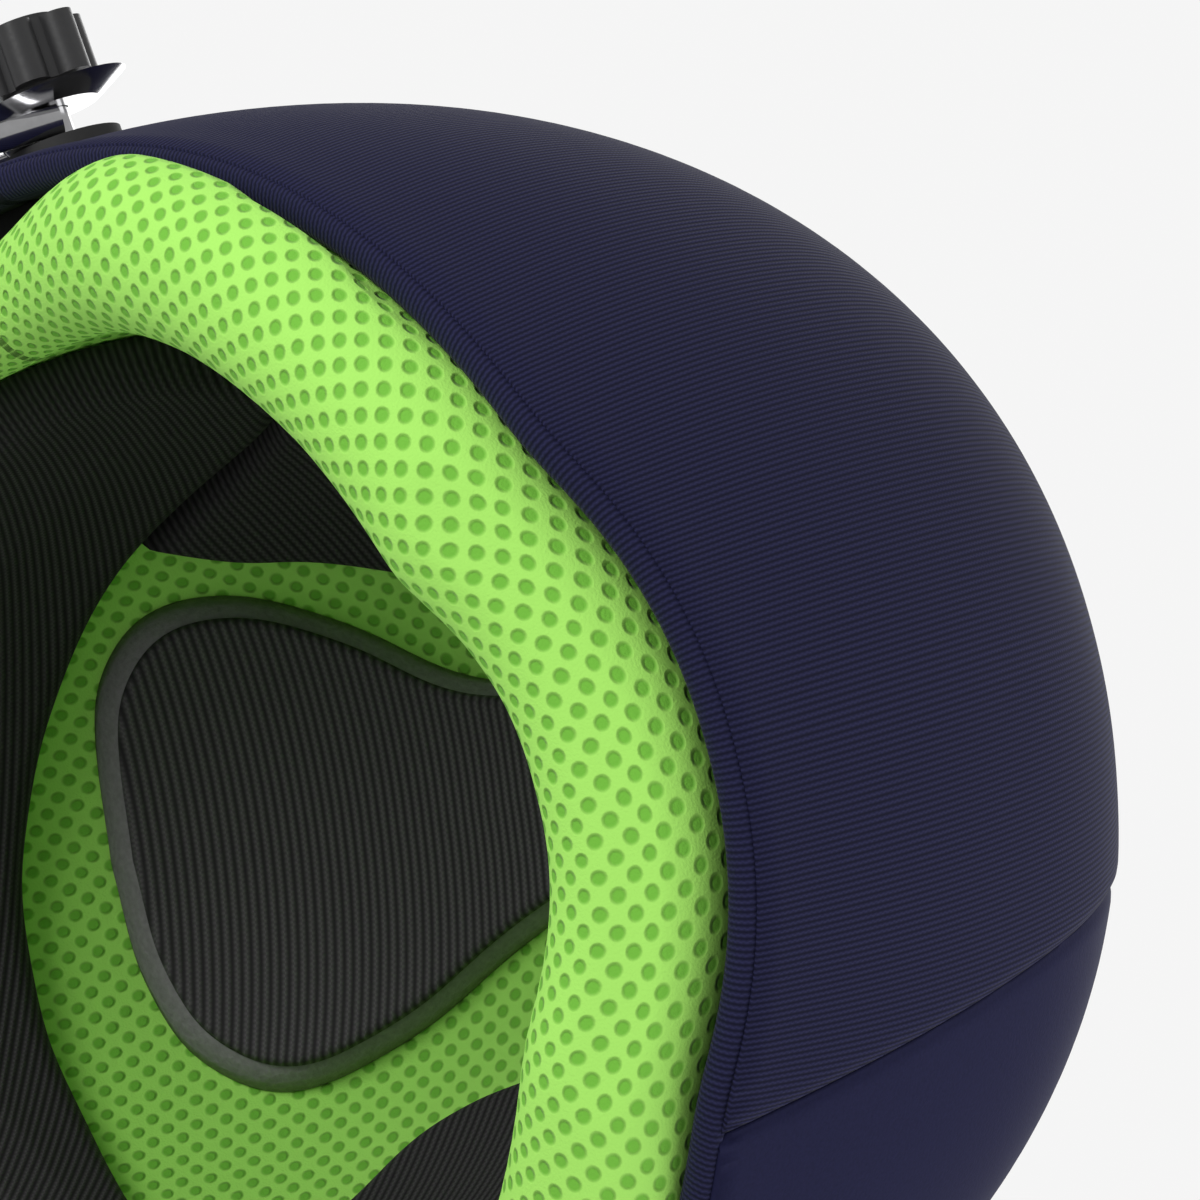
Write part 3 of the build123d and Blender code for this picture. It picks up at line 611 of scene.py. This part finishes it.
# Both edge lines run from one end of the pad to the other, and share their two end points
def padMesh(name, first, second, kind):
    a, b = resampled(toMap(first), padGrid["columns"]), resampled(toMap(second), padGrid["columns"])
    v = numpy.linspace(-1, 1, padGrid["rows"])
    v = (numpy.sign(v) * (1 - (1 - abs(v)) ** padGrid["crowding"]))[:, None, None]
    flat = a[None] * (1 - v) / 2 + b[None] * (1 + v) / 2
    outline = numpy.concatenate([a, b[-2:0:-1]])
    if "margin" in kind:
        middle = flat.mean((0, 1))
        gaps = flat - middle
        reach = (lengths(gaps) * flatMap["scale"]).max()
        flat = middle + gaps * (1 - kind["margin"] / reach)
        outline = numpy.concatenate([flat[0], flat[-1][-2:0:-1]])
    edge = toOutline(flat, outline)
    rise = numpy.clip(edge / kind["round"], 0, 1)
    rise = numpy.sqrt(numpy.clip(1 - (1 - rise) ** 2, 0, 1))
    depth = kind["wall"] * rise + kind["swell"] * (edge / edge.max()) ** padGrid["crownPower"]
    base = mapPoint(flat, kind["inset"])
    toward = mapPoint(flat, kind["inset"] + 1) - base
    top = base + toward * depth[..., None]
    c, s = math.cos(kind["lean"]), math.sin(kind["lean"])
    x, y = numpy.moveaxis(flat * flatMap["scale"], -1, 0)
    uv = numpy.stack([y * c - x * s, x * c + y * s], -1).reshape(-1, 2)
    rows, columns = flat.shape[:2]
    verts = numpy.concatenate([placed(top).reshape(-1, 3), placed(base).reshape(-1, 3)])
    faces = gridFaces(rows, columns)
    faces += [tuple(i + rows * columns for i in f[::-1]) for f in faces]
    made = meshOf(name, verts, faces, numpy.concatenate([uv, uv]))
    edit = bmesh.new()
    edit.from_mesh(made.data)
    bmesh.ops.remove_doubles(edit, verts=edit.verts, dist=weldGap["pad"])
    bmesh.ops.recalc_face_normals(edit, faces=edit.faces)
    edit.to_mesh(made.data)
    edit.free()
    return made


# Crown pad: a foam slab with a cut edge, and a cloth face
crown = {
    "left": ((0, -79, 55), (15, -77, 55), (28, -73, 54), (36, -66, 56), (39, -60, 58), (39, -54, 63),
        (37, -47, 69), (32, -41, 74), (26, -33, 79), (18, -26, 83), (13, -17, 85), (10, 0, 86),
        (8, 20, 84), (4, 34, 80), (-3, 40, 76)),
    "right": ((0, -79, 55), (-17, -78, 53), (-32, -72, 52), (-41, -63, 55), (-43, -59, 57), (-44, -54, 60),
        (-42, -48, 65), (-40, -41, 70), (-37, -34, 74), (-32, -27, 78), (-27, -16, 82), (-22, 0, 85),
        (-17, 20, 84), (-11, 34, 80), (-3, 40, 76)),
    "foam": {"inset": 24.0, "wall": 6.5, "round": 3.4, "swell": 0.5, "lean": 0.1},
    "face": {"wall": 1.6, "round": 1.6, "swell": 2.0, "lean": 0.1, "margin": 2.6},
}
crown["face"]["inset"] = crown["foam"]["inset"] + crown["foam"]["wall"]
crownFoam = padMesh("crownPadFoam", crown["left"], crown["right"], crown["foam"])
dress(crownFoam, "cutFoam", "cut_foam", "helmet", "crown_pad_foam")
crownFace = padMesh("crownPadFace", crown["left"], crown["right"], crown["face"])
dress(crownFace, "crownJersey", "ribbed_black_fabric", "helmet", "crown_pad_face")

# Brow pad and side pads
padShapes = {
    "frontPad": {"node": "front_pad",
        "inset": 24.0, "wall": 8.0, "round": 6.0, "swell": 3.0, "lean": 0.3,
        "first": ((70, -8, 45), (65, -16, 53), (58, -37, 54), (50, -56, 52), (40, -68, 50), (22, -81, 46),
            (0, -88, 40), (-25, -86, 35), (-50, -73, 28), (-66, -55, 16), (-74, -42, 2)),
        "second": ((70, -8, 45), (78, -14, 20), (76, -35, 2), (60, -66, -2), (30, -88, -4), (0, -95, -5),
            (-30, -88, -4), (-55, -70, -3), (-70, -50, -2), (-74, -42, 2))},
    "sidePadLeft": {"node": "side_pad_left",
        "inset": 24.0, "wall": 6.5, "round": 4.5, "swell": 2.0, "lean": -0.15,
        "first": ((50, -55, 54), (55, -46, 55), (59, -36, 56), (63, -26, 55), (69, -10, 49), (77, 8, 30),
            (77, 28, 10), (68, 48, 8), (56, 56, 32), (46, 52, 58)),
        "second": ((50, -55, 54), (48, -53, 57), (43, -45, 66), (41, -36, 71), (37, -27, 76), (32, -17, 80),
            (30, 0, 82), (32, 20, 80), (38, 40, 70), (46, 52, 58))},
    "sidePadRight": {"node": "side_pad_right",
        "inset": 24.0, "wall": 6.5, "round": 4.5, "swell": 2.0, "lean": 0.15,
        "first": ((-66, -44, 40), (-61, -40, 50), (-58, -38, 55), (-55, -34, 61), (-52, -25, 67),
            (-51, -13, 71), (-49, 5, 72), (-48, 25, 68), (-50, 42, 58), (-56, 50, 45)),
        "second": ((-66, -44, 40), (-76, -30, 18), (-80, -10, 4), (-80, 20, -2), (-72, 45, 8),
            (-56, 50, 45))},
}
for padName, padKind in padShapes.items():
    pad = padMesh(padName, padKind["first"], padKind["second"], padKind)
    dress(pad, "blackJersey", "ribbed_black_fabric", "helmet", padKind["node"])
print("pads ready")

# Cloth-covered peak: an arched slab from the shell's brow to an oval front edge
peak = {
    "columns": 120, "rows": 26, "sweep": (182, 358), "wide": 96.4, "reach": 113.4, "middle": -58.0,
    "seat": {"level": -6.0, "inset": 1.0, "oval": 1.17}, "top": -2.6, "wall": 5.8, "arch": 5.0,
    "droop": 0.0875, "droopFrom": -123.4, "edge": 45, "girth": 110,
}


def peakMesh():
    seat, halfWall = peak["seat"], peak["wall"] / 2
    u = numpy.linspace(*(math.radians(end) for end in peak["sweep"]), peak["columns"])[None, :]
    v = numpy.linspace(0, 1, peak["rows"])[:, None]
    outX, outY = peak["wide"] * numpy.cos(u), peak["middle"] + peak["reach"] * numpy.sin(u)
    seatLevel = numpy.full(u.shape, seat["level"])
    inner = formLevel(numpy.arctan2(outY / seat["oval"], outX), seatLevel, seat["inset"])
    x, y = blend(inner[..., 0], outX, v), blend(inner[..., 1], outY, v)
    middle = peak["top"] - halfWall - peak["arch"] * (x / peak["wide"]) ** 2
    middle = middle + (y - peak["droopFrom"]) * peak["droop"]
    edge = numpy.clip((1 - v) * peak["edge"] / halfWall, 0, 1)
    half = halfWall * numpy.sqrt(numpy.clip(1 - (1 - edge) ** 2, 0.0, 1))
    upper, lower = numpy.stack([x, y, middle + half], -1), numpy.stack([x, y, middle - half], -1)
    points = numpy.concatenate([upper, lower[::-1]])
    uv = numpy.stack([numpy.broadcast_to(u * peak["girth"], points.shape[:2]), points[..., 1]], -1)
    return gridMesh("peakCover", points, uv)


dress(peakMesh(), "navySmoothCloth", "smooth_cloth", "helmet", "peak_cover")

# Rigid pieces keep their drawn shape and take a finish
finishes = {
    "platedSteel": ("cup_washer", "guard_stud", "backing_plate", "guard_frame", "guard_bar",
        "guard_front_upright", "guard_side_upright", "hanger_rivet", "strap_pivot", "strap_eyelet"),
    "knobPlastic": ("knob_left", "knob_right", "strap_hanger"),
    "seatRubber": ("wire_seat", "chin_cup"),
    "bucklePlastic": ("buckle", "strap_slider"),
    "hookTape": ("hook_patches",),
    "shellPlastic": ("peak_board",),
    "wovenTape": ("strap_short", "strap_long"),
}
for finish, starts in finishes.items():
    for nodeName, node in nodes.items():
        if nodeName.startswith(starts):
            node.data.materials.clear()
            node.data.materials.append(materials[finish])

# Floor that shows only from above, and lets every other ray through
floorLook = {"size": 6.0, "color": (0.93, 0.93, 0.93)}


def floorMaterial():
    made = bpy.data.materials.new("paleFloor")
    made.use_nodes = True
    tree = made.node_tree
    tree.nodes.clear()
    output = tree.nodes.new("ShaderNodeOutputMaterial")
    plain = tree.nodes.new("ShaderNodeBsdfDiffuse")
    plain.inputs["Color"].default_value = (*floorLook["color"], 1)
    clear = tree.nodes.new("ShaderNodeBsdfTransparent")
    mix = tree.nodes.new("ShaderNodeMixShader")
    seen = tree.nodes.new("ShaderNodeLightPath").outputs["Is Camera Ray"]
    back = tree.nodes.new("ShaderNodeNewGeometry").outputs["Backfacing"]
    shown = mathNode(tree, "MULTIPLY", seen, mathNode(tree, "SUBTRACT", 1.0, back))
    tree.links.new(shown, mix.inputs[0])
    tree.links.new(clear.outputs[0], mix.inputs[1])
    tree.links.new(plain.outputs[0], mix.inputs[2])
    tree.links.new(mix.outputs[0], output.inputs["Surface"])
    return made


end = floorLook["size"] / 2
corners = [(-end, -end, 0), (end, -end, 0), (end, end, 0), (-end, end, 0)]
floor = meshOf("floor", corners, [(0, 1, 2, 3)], smooth=False)
floor.data.materials.append(floorMaterial())

# World: pale for the eye and through clear pieces, softer for light and reflections
sky = {"seen": 0.915, "light": 0.5}


def makeWorld():
    world = bpy.data.worlds.new("paleRoom")
    bpy.context.scene.world = world
    world.use_nodes = True
    tree = world.node_tree
    background = tree.nodes["Background"]
    path = tree.nodes.new("ShaderNodeLightPath")
    direct = mathNode(tree, "ADD", path.outputs["Is Camera Ray"], path.outputs["Is Transmission Ray"])
    seen = mathNode(tree, "MINIMUM", direct, 1.0)
    strength = rangeNode(tree, seen, 0.0, 1.0, sky["light"], sky["seen"])
    background.inputs["Color"].default_value = (1, 1, 1, 1)
    tree.links.new(strength, background.inputs["Strength"])


makeWorld()

# Camera of the photograph, behind and below; its focal length and width are in pixels of the photograph
view = {
    "azimuth": 89.9, "elevation": -54.79, "roll": -14.86, "distance": 730.21, "right": 48.42, "up": 35.19,
    "focal": 4999.03, "pixels": 1200, "sensor": 36.0, "clipStart": 0.01,
}


def cameraAxes():
    az, el, ro = (math.radians(view[k]) for k in ("azimuth", "elevation", "roll"))
    away = numpy.array([math.cos(az) * math.cos(el), math.sin(az) * math.cos(el), math.sin(el)])
    side = numpy.array([0, 0, 1.0]) - away[2] * away
    side = side / numpy.linalg.norm(side)
    above = numpy.cross(away, side)
    right = math.cos(ro) * side + math.sin(ro) * above
    up = -math.sin(ro) * side + math.cos(ro) * above
    return right, up, away


def makeCamera():
    right, up, away = cameraAxes()
    where = away * view["distance"] + right * view["right"] + up * view["up"]
    data = bpy.data.cameras.new("photoCamera")
    data.sensor_width = view["sensor"]
    data.lens = view["focal"] / view["pixels"] * view["sensor"]
    data.clip_start = view["clipStart"]
    made = bpy.data.objects.new("photoCamera", data)
    bpy.context.scene.collection.objects.link(made)
    columns = [turned(right), turned(up), turned(away), placed(where)]
    rows = [[float(column[k]) for column in columns] for k in range(3)]
    made.matrix_world = Matrix([*rows, [0, 0, 0, 1]])
    bpy.context.scene.camera = made


makeCamera()

# Lamps, placed by the photo camera's own axes: along its right, its up and toward it
lampTarget = (0, 0, 20)
lamps = {
    "keyLamp": {"place": (-430, 520, 560), "size": 0.5, "power": 4.2},
    "fillLamp": {"place": (560, -560, 330), "size": 0.7, "power": 2.6},
    "sideLamp": {"place": (760, 120, 40), "size": 0.5, "power": 1.3},
    "topLamp": {"place": (260, 120, -950), "size": 1.0, "power": 5.5},
}


def makeLamps():
    right, up, away = cameraAxes()
    target = Vector(placed(lampTarget))
    for name, kind in lamps.items():
        data = bpy.data.lights.new(name, "AREA")
        data.shape = "DISK"
        data.size = kind["size"]
        data.energy = kind["power"]
        made = bpy.data.objects.new(name, data)
        bpy.context.scene.collection.objects.link(made)
        a, b, c = kind["place"]
        made.location = placed(right * a + up * b + away * c)
        made.rotation_euler = (target - made.location).to_track_quat("-Z", "Y").to_euler()


makeLamps()
bpy.context.scene.view_settings.view_transform = "Standard"
print("lamps and camera ready")

bpy.context.view_layer.update()
